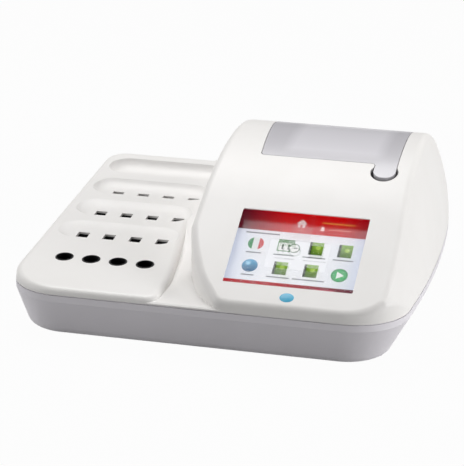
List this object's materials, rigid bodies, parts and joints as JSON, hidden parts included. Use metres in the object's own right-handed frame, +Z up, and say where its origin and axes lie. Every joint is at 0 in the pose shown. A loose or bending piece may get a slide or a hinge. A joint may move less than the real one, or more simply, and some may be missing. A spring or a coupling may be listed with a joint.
{
  "type": "food analyzer",
  "caption": "Bench analyzer with a sloped deck of square sample wells and round reading cells beside a domed hood with a touch screen and a hinged printer lid.",
  "frame": {"origin": "middle of the foot print, at the level of the bench", "axes": "+X to the right as the user faces it, +Y to the back, +Z up"},
  "size_m": [0.32, 0.29, 0.13],
  "materials": {
    "shell_plastic": "fine matt, light grey",
    "cover_plastic": "fine matt, off-white",
    "foot_rubber": "matt",
    "screw_steel": "zinc plated",
    "block_aluminium": "milled, dark anodized",
    "pad_rubber": "silicone sheet",
    "black_plastic": "matt black, keeps stray light out",
    "collar_plastic": "satin",
    "board_laminate": "lacquered circuit board",
    "screen_glass": "clear, printed from behind",
    "panel_plastic": "display panel",
    "sheet_steel": "plated sheet",
    "bay_plastic": "matt grey",
    "platen_rubber": "ground rubber on a steel shaft",
    "gear_plastic": "moulded, natural",
    "roll_paper": "thermal paper",
    "lid_plastic": "satin, grey-violet"
  },
  "bodies": {
    "housing": {"lower_shell": "shell_plastic", "upper_cover": "cover_plastic", "rubber_feet": "foot_rubber", "shell_screws": "screw_steel", "heater_plate": "block_aluminium", "well_bar_1": "block_aluminium", "well_bar_2": "block_aluminium", "well_bar_3": "block_aluminium", "well_bar_4": "block_aluminium", "heater_pad": "pad_rubber", "block_screws": "screw_steel", "reading_block": "black_plastic", "cell_collars": "collar_plastic", "led_board": "board_laminate", "detector_board": "board_laminate", "main_board": "board_laminate", "power_board": "board_laminate", "board_screws": "screw_steel", "touch_glass": "screen_glass", "display_panel": "panel_plastic", "display_bracket": "sheet_steel", "bracket_screws": "screw_steel", "printer_bay": "bay_plastic", "printer_frame": "sheet_steel", "print_head": "black_plastic", "feed_motor": "sheet_steel", "lid_pins": "screw_steel", "dc_inlet": "black_plastic", "usb_ports": "sheet_steel", "switch_body": "black_plastic"},
    "lid": {"printer_lid": "lid_plastic"},
    "roll": {"paper_roll": "roll_paper", "roll_spindle": "black_plastic"},
    "platen": {"platen_roller": "platen_rubber"},
    "idler": {"idler_gear": "gear_plastic"},
    "pinion": {"motor_pinion": "gear_plastic"},
    "rocker": {"switch_rocker": "black_plastic"}
  },
  "joints": [
    {"name": "lid_hinge", "type": "hinge", "parent": "housing", "child": "lid", "pos_m": [0.06525, 0.088, 0.11762], "axis": [-1, 0, 0], "range_deg": [0, 70]},
    {"name": "roll_turn", "type": "hinge", "parent": "housing", "child": "roll", "pos_m": [0.0725, 0.054, 0.099], "axis": [1, 0, 0], "continuous": true},
    {"name": "platen_turn", "type": "hinge", "parent": "housing", "child": "platen", "pos_m": [0.0725, 0.015, 0.111], "axis": [1, 0, 0], "continuous": true},
    {"name": "idler_turn", "type": "hinge", "parent": "housing", "child": "idler", "pos_m": [0.106, 0.019, 0.09706], "axis": [1, 0, 0], "continuous": true},
    {"name": "pinion_turn", "type": "hinge", "parent": "housing", "child": "pinion", "pos_m": [0.106, 0.019, 0.08556], "axis": [1, 0, 0], "continuous": true},
    {"name": "rocker_pivot", "type": "hinge", "parent": "housing", "child": "rocker", "pos_m": [0.098, 0.129, 0.0195], "axis": [-1, 0, 0], "range_deg": [0, 14]}
  ],
  "couplings": [
    {"joint": "platen_turn", "follows": "roll_turn", "ratio": 4},
    {"joint": "idler_turn", "follows": "roll_turn", "ratio": -3.25},
    {"joint": "pinion_turn", "follows": "roll_turn", "ratio": 7.4286}
  ]
}
